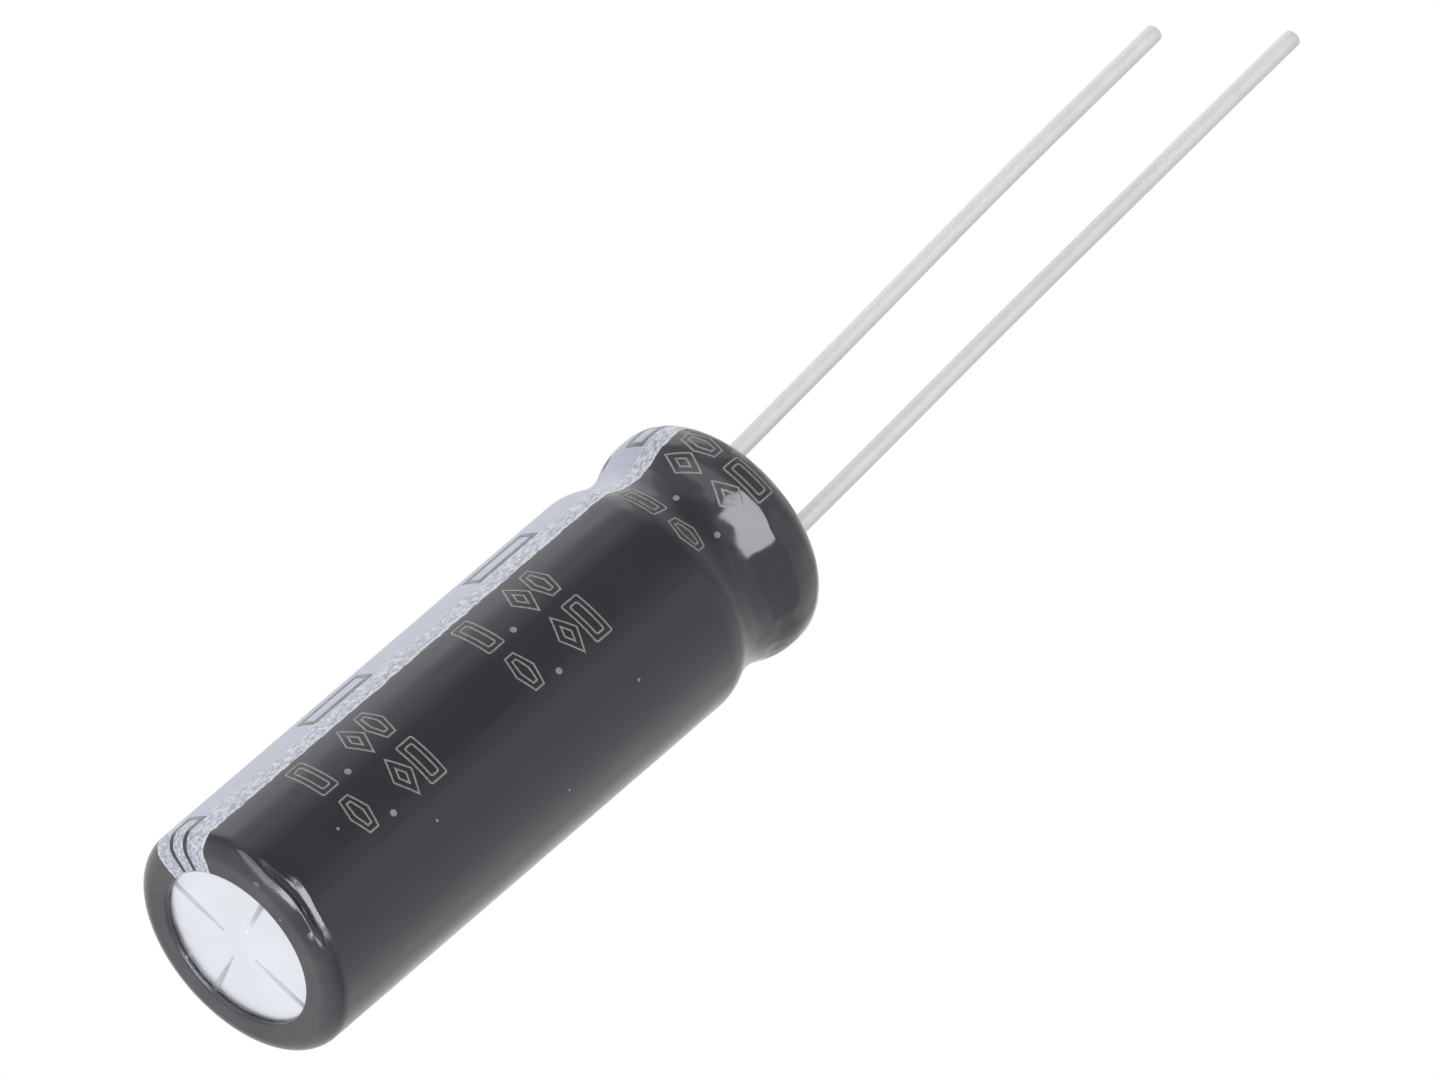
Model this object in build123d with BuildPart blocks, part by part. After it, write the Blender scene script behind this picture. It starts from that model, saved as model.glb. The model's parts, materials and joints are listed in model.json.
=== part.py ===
"""Radial-lead supercapacitor cell of the 8 x 25 mm size, in millimetres.

A wound cell in a drawn aluminium can. A rubber seal closes the can's mouth, held by a bead rolled
into the can's side and by the can's rim, curled in over it. A black heat-shrunk sleeve covers the
can, with an open lip at each end. The cell stands on that lip at z = 0, its two leads up along +Z.
The negative lead is on the -X side and the positive lead, the longer one, on the +X side.
"""

import os
from math import atan2, cos, degrees, radians, sin, sqrt

from build123d import *

os.makedirs("parts", exist_ok=True)

# ---- Driving dimensions ----

fit = 0.01                      # gap modelled between pieces that touch all over

# Can
can_diameter = 8.0
can_height = 24.18              # from its base to the crest of the curled rim
can_wall = 0.3
can_base_thickness = 0.4
can_base_corner = 0.45          # outside radius round the base
can_base_corner_inside = 0.3

# Bead rolled into the can's side, which grips the seal
bead_below_rim = 2.95           # from the crest of the rim down to the middle of the bead
bead_depth = 0.40
bead_shoulder = 1.8             # radius where the side turns into the bead
bead_root = 2.6                 # radius at the bottom of the bead

# Rim curled in over the seal
rim_curl = 0.9                  # outside radius of the curl
rim_turn = 120                  # degrees that the curl turns

# Cross-shaped safety vent, scored into the outside of the base
vent_arms = 4
vent_turn = 144                 # degrees from +X to the first arm
vent_outer_radius = 3.15
vent_inner_radius = 0.7
vent_outer_width = 0.3
vent_outer_depth = 0.14
vent_inner_width = 0.1
vent_inner_depth = 0.03

# Heat-shrunk sleeve
sleeve_wall = 0.2
sleeve_base_opening = 5.84      # diameter of the base left bare
sleeve_top_turn = 102           # degrees that the sleeve follows the curled rim
sleeve_lip_round = 0.07

# Rubber seal
seal_thickness = 4.8
seal_chamfer = 0.3

# Terminals: an aluminium boss through the seal, flattened below into a tab
lead_pitch = 3.5
boss_diameter = 1.3
boss_below_seal = 0.4
boss_under_seal_top = 0.1       # how far the boss stops below the seal's top face
weld_height = 0.4               # cone of the butt weld between boss and lead
weld_top_diameter = 0.72
tab_width = 1.8
tab_thickness = 0.3
tab_length = 9.5
tab_neck = 1.1                  # length over which the round boss turns into the flat tab
stitch_count = 3                # holes where the tab is stitched to its electrode foil
stitch_pitch = 2.2
stitch_diameter = 0.5

# Leads: tinned wire, both leaning slightly to the negative side
lead_diameter = 0.6
lead_stub = 0.7                 # straight run out of the weld, before the bend
lead_bend_radius = 6.0
lead_tip_round = 0.1
negative_lead_reach = 23.65      # tip above the top of the sleeve
positive_lead_reach = 28.5
negative_lead_lean = 4.2        # degrees
positive_lead_lean = 3.7        # degrees

# Wound element: electrode foils and separators rolled up, with tape round the outside
roll_diameter = 6.9
roll_below_seal = 1.9           # room between roll and seal, where the tabs cross
roll_bore = 1.2                 # hole left by the winding mandrel
roll_edge = 0.15
turn_pitch = 0.46               # one turn: two electrodes and two separators
turn_count = 5
turn_groove = 0.12              # electrode edge, set back between the separators
turn_groove_depth = 0.3
tab_slot_gap = 0.04             # room round a tab inside the roll
tape_thickness = 0.06
tape_width = 8.0
tape_lap = 50                   # degrees that the tape's end laps over its start

# ---- Places that follow from them ----

can_radius = can_diameter / 2
can_base_z = sleeve_wall + fit
can_top_z = can_base_z + can_height
sleeve_top_z = can_top_z + fit + sleeve_wall
curl_centre = (can_radius - rim_curl, can_top_z - rim_curl)

# The bead is three tangent arcs: shoulder, root, shoulder.
bead_z = can_top_z - bead_below_rim
bead_reach = bead_shoulder + bead_root - bead_depth      # radial distance between arc centres
bead_half_length = sqrt((bead_shoulder + bead_root) ** 2 - bead_reach**2)
bead_angle = degrees(atan2(bead_half_length, bead_reach))

seal_inset = can_wall + fit
seal_top_z = curl_centre[1] + (rim_curl - seal_inset) * sin(radians(rim_turn))
seal_bottom_z = seal_top_z - seal_thickness

boss_top_z = seal_top_z - boss_under_seal_top
boss_bottom_z = seal_bottom_z - boss_below_seal
tab_top_z = boss_bottom_z - tab_neck
tab_bottom_z = tab_top_z - tab_length
lead_start_z = boss_top_z + weld_height

roll_bottom_z = can_base_z + can_base_thickness + fit
roll_top_z = seal_bottom_z - roll_below_seal
roll_height = roll_top_z - roll_bottom_z


def rim_side(inset, start_z, turn):
    """Draw the can's side from a height up over the bead and round the curled rim.

    The line lies at an inset under the can's outer face, or outside it where the inset is
    negative, and stops after the given degrees of curl. Returns the line's upper end.
    """
    radius = can_radius - inset
    Line((radius, start_z), (radius, bead_z - bead_half_length))
    CenterArc(
        (can_radius - bead_shoulder, bead_z - bead_half_length),
        bead_shoulder - inset, 0, bead_angle,
    )
    CenterArc(
        (can_radius - bead_depth + bead_root, bead_z),
        bead_root + inset, 180 - bead_angle, 2 * bead_angle,
    )
    CenterArc(
        (can_radius - bead_shoulder, bead_z + bead_half_length),
        bead_shoulder - inset, -bead_angle, bead_angle,
    )
    Line((radius, bead_z + bead_half_length), (radius, curl_centre[1]))
    curl = CenterArc(curl_centre, rim_curl - inset, 0, turn)
    return curl @ 1


def whole_side(inset, floor_z, corner, turn):
    """Draw the can's side with the corner round its base. Returns the line's two ends."""
    radius = can_radius - inset
    CenterArc((radius - corner, floor_z + corner), corner, 270, 90)
    top = rim_side(inset, floor_z + corner, turn)
    return (radius - corner, floor_z), top


def spiral_wall(offset):
    """Draw one wall of the spiral between the turns, as half circles about two centres."""
    for half_turn in range(2 * turn_count):
        radius = roll_bore / 2 + turn_pitch * (1 + half_turn) / 2 + offset
        centre = turn_pitch / 2 if half_turn % 2 else 0
        CenterArc((centre, 0), radius, 180 * (half_turn % 2), 180)


# ---- Can ----

# One arm of the vent: a V groove, wide and deep at the rim and dying out towards the middle
with BuildPart() as vent_arm:
    for arm_radius, width, depth in (
        (vent_inner_radius, vent_inner_width, vent_inner_depth),
        (vent_outer_radius, vent_outer_width, vent_outer_depth),
    ):
        across = Plane(origin=(arm_radius, 0, can_base_z), x_dir=(0, 1, 0), z_dir=(1, 0, 0))
        with BuildSketch(across):
            with BuildLine():
                Polyline((-width, -depth), (width, -depth), (0, depth), close=True)
            make_face()
    loft()

with BuildPart() as can:
    with BuildSketch(Plane.XZ):
        with BuildLine():
            floor_z = can_base_z + can_base_thickness
            out_low, out_top = whole_side(0, can_base_z, can_base_corner, rim_turn)
            in_low, in_top = whole_side(can_wall, floor_z, can_base_corner_inside, rim_turn)
            Polyline(out_low, (0, can_base_z), (0, floor_z), in_low)
            Line(out_top, in_top)
        make_face()
    revolve(axis=Axis.Z)
    with PolarLocations(0, vent_arms, start_angle=vent_turn):
        add(vent_arm.part, mode=Mode.SUBTRACT)

# ---- Heat-shrunk sleeve ----

with BuildPart() as sleeve:
    with BuildSketch(Plane.XZ) as sleeve_section:
        with BuildLine():
            skin = fit + sleeve_wall
            lip_radius = sleeve_base_opening / 2
            out_low, out_top = whole_side(-skin, 0, can_base_corner + skin, sleeve_top_turn)
            in_low, in_top = whole_side(-fit, sleeve_wall, can_base_corner + fit, sleeve_top_turn)
            Polyline(out_low, (lip_radius, 0), (lip_radius, sleeve_wall), in_low)
            Line(out_top, in_top)
        make_face()
        lip = sleeve_section.vertices().filter_by(
            lambda v: v.Y < can_base_z and v.X < lip_radius + fit
        )
        fillet(lip, radius=sleeve_lip_round)
    revolve(axis=Axis.Z)

# ---- Rubber seal ----

with BuildPart() as rubber_seal:
    with BuildSketch(Plane.XZ):
        with BuildLine():
            seal_radius = can_radius - seal_inset
            seal_edge = rim_side(seal_inset, seal_bottom_z + seal_chamfer, rim_turn)
            Polyline(
                (seal_radius, seal_bottom_z + seal_chamfer),
                (seal_radius - seal_chamfer, seal_bottom_z),
                (0, seal_bottom_z),
                (0, seal_top_z),
                seal_edge,
            )
        make_face()
    revolve(axis=Axis.Z)
    with Locations((0, 0, seal_top_z)):
        with GridLocations(lead_pitch, 0, 2, 1):
            Hole(radius=boss_diameter / 2 + fit, depth=seal_thickness)

# ---- Terminals ----

with BuildPart() as positive_terminal:
    with BuildSketch(Plane.XY.offset(boss_bottom_z)):
        with Locations((lead_pitch / 2, 0)):
            Circle(boss_diameter / 2)
    extrude(amount=boss_top_z - boss_bottom_z)
    # Weld cone that carries the lead
    with BuildSketch(Plane.XY.offset(boss_top_z)):
        with Locations((lead_pitch / 2, 0)):
            Circle(boss_diameter / 2)
    with BuildSketch(Plane.XY.offset(lead_start_z)):
        with Locations((lead_pitch / 2, 0)):
            Circle(weld_top_diameter / 2)
    loft()
    # Forged neck from the round boss to the flat tab
    with BuildSketch(Plane.XY.offset(boss_bottom_z)):
        with Locations((lead_pitch / 2, 0)):
            Circle(boss_diameter / 2)
    with BuildSketch(Plane.XY.offset(tab_top_z)):
        with Locations((lead_pitch / 2, 0)):
            Rectangle(tab_thickness, tab_width)
    loft()
    with BuildSketch(Plane.XY.offset(tab_top_z)):
        with Locations((lead_pitch / 2, 0)):
            Rectangle(tab_thickness, tab_width)
    extrude(amount=-tab_length)
    # Stitch holes through the flat of the tab
    stitch_middle_z = tab_bottom_z + tab_length / 2
    with BuildSketch(Plane(origin=(lead_pitch / 2, 0, stitch_middle_z), z_dir=(1, 0, 0))):
        with GridLocations(stitch_pitch, 0, stitch_count, 1):
            Circle(stitch_diameter / 2)
    extrude(amount=tab_thickness, both=True, mode=Mode.SUBTRACT)

with BuildPart() as negative_terminal:
    mirror(positive_terminal.part, about=Plane.YZ)

# ---- Leads ----


def draw_lead(x, lean, tip_z):
    """Sweep a round wire up from the weld, round the bend and straight on to its tip."""
    with BuildLine(Plane.XZ) as route:
        stub = Line((x, lead_start_z), (x, lead_start_z + lead_stub))
        bend = JernArc(stub @ 1, stub % 1, lead_bend_radius, lean)
        bend_z = lead_start_z + lead_stub + lead_bend_radius * sin(radians(lean))
        run = (tip_z - bend_z) / cos(radians(lean))
        PolarLine(bend @ 1, run, 90 + lean)
    with BuildSketch(Plane(origin=(x, 0, lead_start_z))) as section:
        Circle(lead_diameter / 2)
    sweep(sections=section.sketch, path=route.line)


with BuildPart() as positive_lead:
    draw_lead(lead_pitch / 2, positive_lead_lean, sleeve_top_z + positive_lead_reach)
    tip = positive_lead.faces().sort_by(Axis.Z)[-1]
    fillet(tip.edges(), radius=lead_tip_round)

with BuildPart() as negative_lead:
    draw_lead(-lead_pitch / 2, negative_lead_lean, sleeve_top_z + negative_lead_reach)
    tip = negative_lead.faces().sort_by(Axis.Z)[-1]
    fillet(tip.edges(), radius=lead_tip_round)

# ---- Wound element ----

with BuildPart() as wound_element:
    with BuildSketch(Plane.XY.offset(roll_bottom_z)):
        Circle(roll_diameter / 2)
        Circle(roll_bore / 2, mode=Mode.SUBTRACT)
    extrude(amount=roll_height)
    rims = wound_element.edges().filter_by(GeomType.CIRCLE).group_by(SortBy.RADIUS)[-1]
    chamfer(rims, length=roll_edge)
    # The turns show at the seal's end as a spiral, the electrodes set back between the separators
    with BuildSketch(Plane.XY.offset(roll_top_z)):
        with BuildLine():
            spiral_wall(-turn_groove / 2)
            spiral_wall(turn_groove / 2)
            first = roll_bore / 2 + turn_pitch / 2
            last = first + turn_pitch * turn_count
            Line((first - turn_groove / 2, 0), (first + turn_groove / 2, 0))
            Line((last - turn_groove / 2, 0), (last + turn_groove / 2, 0))
        make_face()
    extrude(amount=-turn_groove_depth, mode=Mode.SUBTRACT)
    # Slots between the turns, where the tabs go in
    with BuildSketch(Plane.XY.offset(roll_top_z)):
        with GridLocations(lead_pitch, 0, 2, 1):
            Rectangle(tab_thickness + 2 * tab_slot_gap, tab_width + 2 * tab_slot_gap)
    extrude(amount=tab_bottom_z - tab_slot_gap - roll_top_z, mode=Mode.SUBTRACT)

with BuildPart() as fixing_tape:
    tape_inner = roll_diameter / 2 + fit
    with BuildSketch(Plane.XY.offset(roll_bottom_z + (roll_height - tape_width) / 2)):
        Circle(tape_inner + tape_thickness)
        Circle(tape_inner, mode=Mode.SUBTRACT)
        # The tape's end, lapped over its start
        with BuildLine():
            lap_in = CenterArc((0, 0), tape_inner + tape_thickness / 2, 90, tape_lap)
            lap_out = CenterArc((0, 0), tape_inner + 2 * tape_thickness, 90, tape_lap)
            Line(lap_in @ 0, lap_out @ 0)
            Line(lap_in @ 1, lap_out @ 1)
        make_face()
    extrude(amount=tape_width)

# ---- Write each piece ----

pieces = {
    "sleeve": sleeve,
    "can": can,
    "rubber_seal": rubber_seal,
    "wound_element": wound_element,
    "fixing_tape": fixing_tape,
    "positive_terminal": positive_terminal,
    "negative_terminal": negative_terminal,
    "positive_lead": positive_lead,
    "negative_lead": negative_lead,
}
for name, piece in pieces.items():
    piece.part.label = name
    export_step(piece.part, f"parts/{name}.step")
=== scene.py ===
"""Finished pieces, surfaces and stage for a radial-lead supercapacitor cell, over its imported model.

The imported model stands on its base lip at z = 0, its two leads up along +Z, with the negative lead on
the -X side. Lengths are written in millimetres and turned to metres where a mesh is made.
"""

import json
from math import acos, asin, atan2, cos, degrees, hypot, pi, radians, sin

import bmesh
import bpy
from bmesh.types import BMEdge, BMVert
from bpy.props import FloatProperty, FloatVectorProperty, IntProperty, PointerProperty
from bpy.types import Operator, Panel, PropertyGroup
from mathutils import Matrix, Quaternion, Vector


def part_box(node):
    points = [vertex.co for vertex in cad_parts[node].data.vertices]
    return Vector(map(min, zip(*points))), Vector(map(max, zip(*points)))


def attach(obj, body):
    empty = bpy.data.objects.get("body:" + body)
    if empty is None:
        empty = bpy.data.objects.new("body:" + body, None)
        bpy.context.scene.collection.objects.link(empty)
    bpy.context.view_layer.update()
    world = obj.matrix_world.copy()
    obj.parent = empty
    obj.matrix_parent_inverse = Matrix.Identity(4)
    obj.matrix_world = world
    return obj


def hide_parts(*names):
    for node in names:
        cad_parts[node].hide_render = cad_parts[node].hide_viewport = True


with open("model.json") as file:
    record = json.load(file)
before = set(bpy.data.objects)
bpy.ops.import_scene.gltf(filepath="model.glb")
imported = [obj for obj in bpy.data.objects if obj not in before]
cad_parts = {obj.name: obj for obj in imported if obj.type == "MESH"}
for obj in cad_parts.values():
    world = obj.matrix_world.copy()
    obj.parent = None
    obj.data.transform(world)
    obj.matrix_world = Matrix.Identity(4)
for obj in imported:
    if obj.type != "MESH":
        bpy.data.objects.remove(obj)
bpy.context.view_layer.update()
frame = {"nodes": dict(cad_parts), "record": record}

bl_info = {
    "name": "Supercapacitor Cell",
    "version": (1, 0, 0),
    "blender": (4, 5, 0),
    "location": "View3D > Sidebar > Cell",
    "description": "Builds the finished sleeve, print, wires and surfaces of a radial-lead cell",
    "category": "Object",
}

MM = 0.001


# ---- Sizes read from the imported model, in mm ----

def node_box(name):
    """Lowest and highest corner of a node."""
    low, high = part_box(name)
    return low / MM, high / MM


SLEEVE_LOW, SLEEVE_HIGH = node_box("sleeve")
SLEEVE_RADIUS = (SLEEVE_HIGH.x - SLEEVE_LOW.x) / 2
SLEEVE_WALL = 0.20
CAN_BASE = node_box("can")[0].z
WIRE_FOOT = node_box("positive_lead")[0].z


# ---- Settings ----

def Number(name, description, default, **options):
    """A plain number."""
    return FloatProperty(name=name, description=description, default=default, **options)


def Length(name, description, default, **limits):
    """A length in millimetres."""
    return Number(name, description + ", in mm", default, **limits)


def Angle(name, description, default):
    """An angle, with its default given in degrees."""
    return Number(name, description, radians(default), subtype="ANGLE")


def Colour(name, thing, default):
    """The colour of a thing, as a linear triple."""
    return FloatVectorProperty(
        name=name, description="Colour of the " + thing, subtype="COLOR", size=3, min=0, max=1,
        default=default)


class CellSleeveSettings(PropertyGroup):
    lip_radius: Length("Lip radius", "Radius of the sleeve's opening round the bare base", 2.92, min=0.5)
    lip_round: Length("Lip rounding", "Radius on the sleeve's cut edges", 0.07, min=0.01)
    corner_radius: Length(
        "Base corner", "Outside radius where the sleeve turns under the base", 0.66, min=0.1)
    bead_below_top: Length(
        "Bead below top", "From the sleeve's crest down to the middle of the bead", 3.16, min=1.0)
    bead_depth: Length("Bead depth", "How far the film sinks into the bead", 0.40, min=0.05)
    bead_shoulder: Length("Bead shoulder", "Radius where the side turns into the bead", 2.01)
    bead_root: Length("Bead root", "Radius of the film across the bead", 2.39)
    curl_radius: Length("Curl radius", "Outside radius of the curled top", 1.11)
    curl_turn: Angle("Curl turn", "How far the sleeve follows the curled top", 102)
    fold_taper: Number("Fold taper", "How many degrees a fold takes to run out at its ends", 12.0)
    fold_cuts: IntProperty(
        name="Fold cuts", description="How much finer the film is cut where it is folded", default=2, min=0)
    film_colour: Colour("Film", "black film", (0.012, 0.012, 0.018))
    stripe_colour: Colour("Stripe", "printed negative stripe", (0.45, 0.485, 0.58))
    fleck_colour: Colour("Flecks", "thicker flecks of printing ink", (0.72, 0.73, 0.79))
    # Paler film where it is drawn tight and along its folds: partly scuffs and rubbing, partly painted
    # sheen and painted highlight
    rub_and_sheen_colour: Colour("Paler film", "film along its rubbed folds", (0.25, 0.25, 0.26))
    stripe_azimuth: Angle("Stripe azimuth", "Middle of the negative stripe, round from +X", 174)
    stripe_width: Angle("Stripe width", "Angle that the negative stripe covers", 37)
    steps_round: IntProperty(
        name="Steps round", description="Divisions round the sleeve", default=288, min=32)


class CellPrintSettings(PropertyGroup):
    block_pitch: Length("Block pitch", "Distance between repeats of the print", 8.15)
    minus_first: Length("First minus", "Height of the middle of the lowest minus mark", -0.15)
    minus_length: Length("Minus length", "Length of a minus mark", 2.9)
    minus_width: Length("Minus width", "Width of a minus mark", 0.96)
    minus_line: Length("Minus line", "Width of its outline", 0.19)
    row_azimuth: Angle("Row azimuth", "Middle of the first row of rating marks", 207.5)
    row_step: Angle("Row step", "Angle from one row to the next", 27.5)
    row_first: Length("Row start", "Height of the first mark in a row", 4.27)
    mark_height: Length("Mark height", "Size round the body", 1.7)
    mark_width: Length("Mark width", "Size along the body", 0.8)
    mark_line: Length("Mark line", "Width of the printed line", 0.062)
    ink_thickness: Length("Ink", "How far the ink stands up", 0.008)
    ink_colour: Colour("Ink colour", "rating marks", (0.34, 0.34, 0.33))


class CellWireSettings(PropertyGroup):
    pitch: Length("Pitch", "Distance between the two wires", 3.5)
    stub: Length("Stub", "Straight run before the bend", 0.7)
    bend_radius: Length("Bend radius", "Radius of the slight bend", 6.0)
    tip_round: Length("Tip rounding", "Radius round the cut end", 0.1)
    bow: Length("Bow", "How far a handled wire bows to one side", 0.09)
    bow_azimuth: Angle("Bow azimuth", "The way it bows, round from +X", 155)
    crook: Length("Crook", "How far it wanders from that bow", 0.02)
    wire_colour: Colour("Tin", "tinned wire", (0.76, 0.76, 0.76))


class CellMetalSettings(PropertyGroup):
    aluminium_colour: Colour("Aluminium", "drawn can", (0.80, 0.82, 0.87))
    terminal_colour: Colour("Terminal", "forged terminals", (0.78, 0.78, 0.79))
    vent_azimuth: Angle("Vent azimuth", "An arm of the scored vent, round from +X", 54)
    smooth_angle: Angle("Smooth angle", "Edges sharper than this stay crisp", 32)


class CellInsideSettings(PropertyGroup):
    rubber_colour: Colour("Rubber", "seal", (0.03, 0.03, 0.032))
    carbon_colour: Colour("Carbon", "electrode coating", (0.03, 0.03, 0.033))
    paper_colour: Colour("Separator", "separator paper", (0.62, 0.58, 0.50))
    tape_colour: Colour("Tape", "fixing tape", (0.45, 0.26, 0.07))


class CellStageSettings(PropertyGroup):
    view_azimuth: Angle("Azimuth", "Camera's place round the cell, from +X", 244.77)
    view_elevation: Angle("Elevation", "Camera's height above the base plane", -32.04)
    view_roll: Angle("Roll", "Turn of the camera about its line of sight", 49.35)
    view_aim: FloatVectorProperty(
        name="Aim", description="Point that the camera looks at, in mm", size=3,
        default=(-4.40, -9.75, 17.09))
    view_distance: Number("Distance", "From the camera to that point", 1.3154, unit="LENGTH")
    lens: Number("Lens", "Focal length in mm", 1034.2)
    floor_size: Number("Floor size", "Width of the floor", 6.0, unit="LENGTH")
    floor_drop: Length("Floor drop", "Clearance under the base lip", 0.05)
    floor_colour: Colour("Floor", "floor", (0.90, 0.90, 0.90))
    lamp_distance: Number("Lamp distance", "From the cell to each lamp", 0.5, unit="LENGTH")
    lamp_level: Number("Lamp level", "Dims or lifts all the lamps", 1.0)
    fill: Number("Fill", "Strength of the plain light all round", 0.45)


# ---- Shader helpers ----

def rgba(colour):
    """A colour with full alpha, where it is a plain triple."""
    if isinstance(colour, bpy.types.NodeSocket):
        return colour
    return (*colour[:3], 1.0)


def darker(colour, share):
    """A share of a plain colour."""
    return [c * share for c in colour]


class Nodes:
    """Adds nodes to a shader tree, fed by constants or by other nodes' outputs."""

    def __init__(self, tree):
        self.tree = tree

    def add(self, kind, inputs=(), **options):
        """Adds a shader node, sets its own options by name and feeds its inputs."""
        made = self.tree.nodes.new("ShaderNode" + kind)
        for key, value in options.items():
            setattr(made, key, value)
        self.feed(made, inputs)
        return made

    def feed(self, node, inputs):
        """Feeds a node's inputs, each given by its name or its place."""
        for key, source in dict(inputs).items():
            socket = node.inputs[key]
            if isinstance(source, bpy.types.NodeSocket):
                self.tree.links.new(source, socket)
            else:
                socket.default_value = source

    def math(self, operation, *values, clamp=False):
        """The result of one Math node."""
        return self.add("Math", enumerate(values), operation=operation, use_clamp=clamp).outputs[0]

    def times(self, first, second):
        """The product of two values."""
        return self.math("MULTIPLY", first, second)

    def scaled(self, value, factor, added):
        """A value times a factor, with another value added."""
        return self.math("MULTIPLY_ADD", value, factor, added)

    def soft_step(self, value, low, high, out_low=0.0, out_high=1.0):
        """Goes softly from out_low to out_high while the value goes from low to high."""
        limits = {"Value": value, "From Min": low, "From Max": high, "To Min": out_low, "To Max": out_high}
        return self.add("MapRange", limits, interpolation_type="SMOOTHSTEP").outputs["Result"]

    def mix_colour(self, factor, first, second):
        """Mixes two colours."""
        colours = {"Factor": factor, 6: rgba(first), 7: rgba(second)}
        return self.add("Mix", colours, data_type="RGBA").outputs[2]

    def mix_value(self, factor, first, second):
        """Mixes two plain values."""
        return self.add("Mix", {"Factor": factor, 2: first, 3: second}, data_type="FLOAT").outputs[0]

    def noise(self, vector, scale, detail=2.0, roughness=0.5):
        """A noise texture's value."""
        inputs = {"Vector": vector, "Scale": scale, "Detail": detail, "Roughness": roughness}
        return self.add("TexNoise", inputs).outputs["Fac"]

    def group(self, name, **values):
        """Places a shared group, which is built the first time, and gives its outputs."""
        if name not in bpy.data.node_groups:
            GROUPS[name](name)
        return self.add("Group", values, node_tree=bpy.data.node_groups[name]).outputs


def new_group(name, inputs, outputs):
    """An empty shader group: its nodes, what it is given (a vector and these values) and its end."""
    tree = bpy.data.node_groups.new(name, "ShaderNodeTree")
    tree.interface.new_socket("Vector", in_out="INPUT", socket_type="NodeSocketVector")
    for label, default in inputs.items():
        socket = tree.interface.new_socket(label, in_out="INPUT", socket_type="NodeSocketFloat")
        socket.default_value = default
    for label in outputs:
        tree.interface.new_socket(label, in_out="OUTPUT", socket_type="NodeSocketFloat")
    return Nodes(tree), tree.nodes.new("NodeGroupInput").outputs, tree.nodes.new("NodeGroupOutput")


def mottle_group(name):
    """Uneven value over a surface: noise brought between two limits."""
    nodes, given, end = new_group(name, {"Scale": 500.0, "From": 0.3, "To": 0.5}, ["Value"])
    value = nodes.noise(given["Vector"], given["Scale"], detail=4.0, roughness=0.6)
    nodes.feed(end, {"Value": nodes.soft_step(value, 0.3, 0.7, given["From"], given["To"])})


def round_body_group(name):
    """Place round the cell's axis: angle from the turned +X in radians, radius and height in metres."""
    nodes, given, end = new_group(name, {}, ["Azimuth", "Radius", "Height"])
    x, y, z = nodes.add("SeparateXYZ", {0: given["Vector"]}).outputs
    radius = nodes.math("SQRT", nodes.math("ADD", nodes.times(x, x), nodes.times(y, y)))
    nodes.feed(end, {"Azimuth": nodes.math("ARCTAN2", y, x), "Radius": radius, "Height": z})


def speck_group(name):
    """Sparse small specks, as dust or pinholes: 1 in a speck and 0 elsewhere."""
    nodes, given, end = new_group(name, {"Scale": 900.0, "Size": 0.1, "Share": 0.1}, ["Mask"])
    cells = nodes.add("TexVoronoi", {"Vector": given["Vector"], "Scale": given["Scale"]}).outputs
    chance = nodes.add("SeparateColor", {0: cells["Color"]}).outputs[0]
    near = nodes.math("LESS_THAN", cells["Distance"], given["Size"])
    kept = nodes.math("LESS_THAN", chance, given["Share"])
    nodes.feed(end, {"Mask": nodes.times(near, kept)})


GROUPS = {"Mottle": mottle_group, "Round Body": round_body_group, "Specks": speck_group}


class Surface(Nodes):
    """A new material with one Principled shader, patterned on Object coordinates."""

    def __init__(self, name):
        self.material = bpy.data.materials.new(name)
        self.material.use_nodes = True
        super().__init__(self.material.node_tree)
        self.shader = self.tree.nodes["Principled BSDF"]
        self.place = self.add("TexCoord").outputs["Object"]

    def stretch(self, along=1.0, turn=0.0):
        """The coordinates, scaled along the cell's axis and turned round it."""
        inputs = {"Vector": self.place, "Scale": (1, 1, along), "Rotation": (0, 0, turn)}
        return self.add("Mapping", inputs).outputs["Vector"]

    def mm_step(self, value, low, high, *ends):
        """A soft step of a length, with its limits in mm."""
        return self.soft_step(value, low * MM, high * MM, *ends)

    def mottle(self, scale, low, high, place=None):
        """An uneven value between two limits."""
        return self.group("Mottle", Vector=place or self.place, Scale=scale, From=low, To=high)["Value"]

    def clouded(self, colour, share, scale, place=None):
        """A plain colour that falls in clouds to a share of itself."""
        return self.mix_colour(self.mottle(scale, 0.0, 1.0, place), darker(colour, share), colour)

    def paint(self, colour, roughness, height, depth, metallic=0.0):
        """Feeds the shader, bumped by a height between 0 and 1 times a depth in mm; gives the material."""
        bumped = self.add("Bump", {"Strength": 1.0, "Distance": depth * MM, "Height": height}).outputs[0]
        self.feed(self.shader, {
            "Base Color": colour, "Metallic": metallic, "Roughness": roughness, "Normal": bumped})
        return self.material


# ---- Materials ----

# Heights on the sleeve, from and to, over which its film changes, in mm
FLECKED_BASE, SCUFF_AND_SHEEN_BASE = (1.5, 0.7), (0.5, 0.1)
OVER_BEAD, BULGE = (21.2, 22.2), (22.3, 23.4)

# How high the film's gathers and bulge stand, where its slow waves are 1
GATHER_HEIGHT, BULGE_HEIGHT = 4.0, 3.5

# The stripe's edge, in radians: how far it wanders, half the width that it fades over, and where inside it
# the ink has gathered in a rim
EDGE_WANDER, EDGE_FADE, EDGE_RIM = 0.05, 0.006, (0.034, 0.02)

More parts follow.
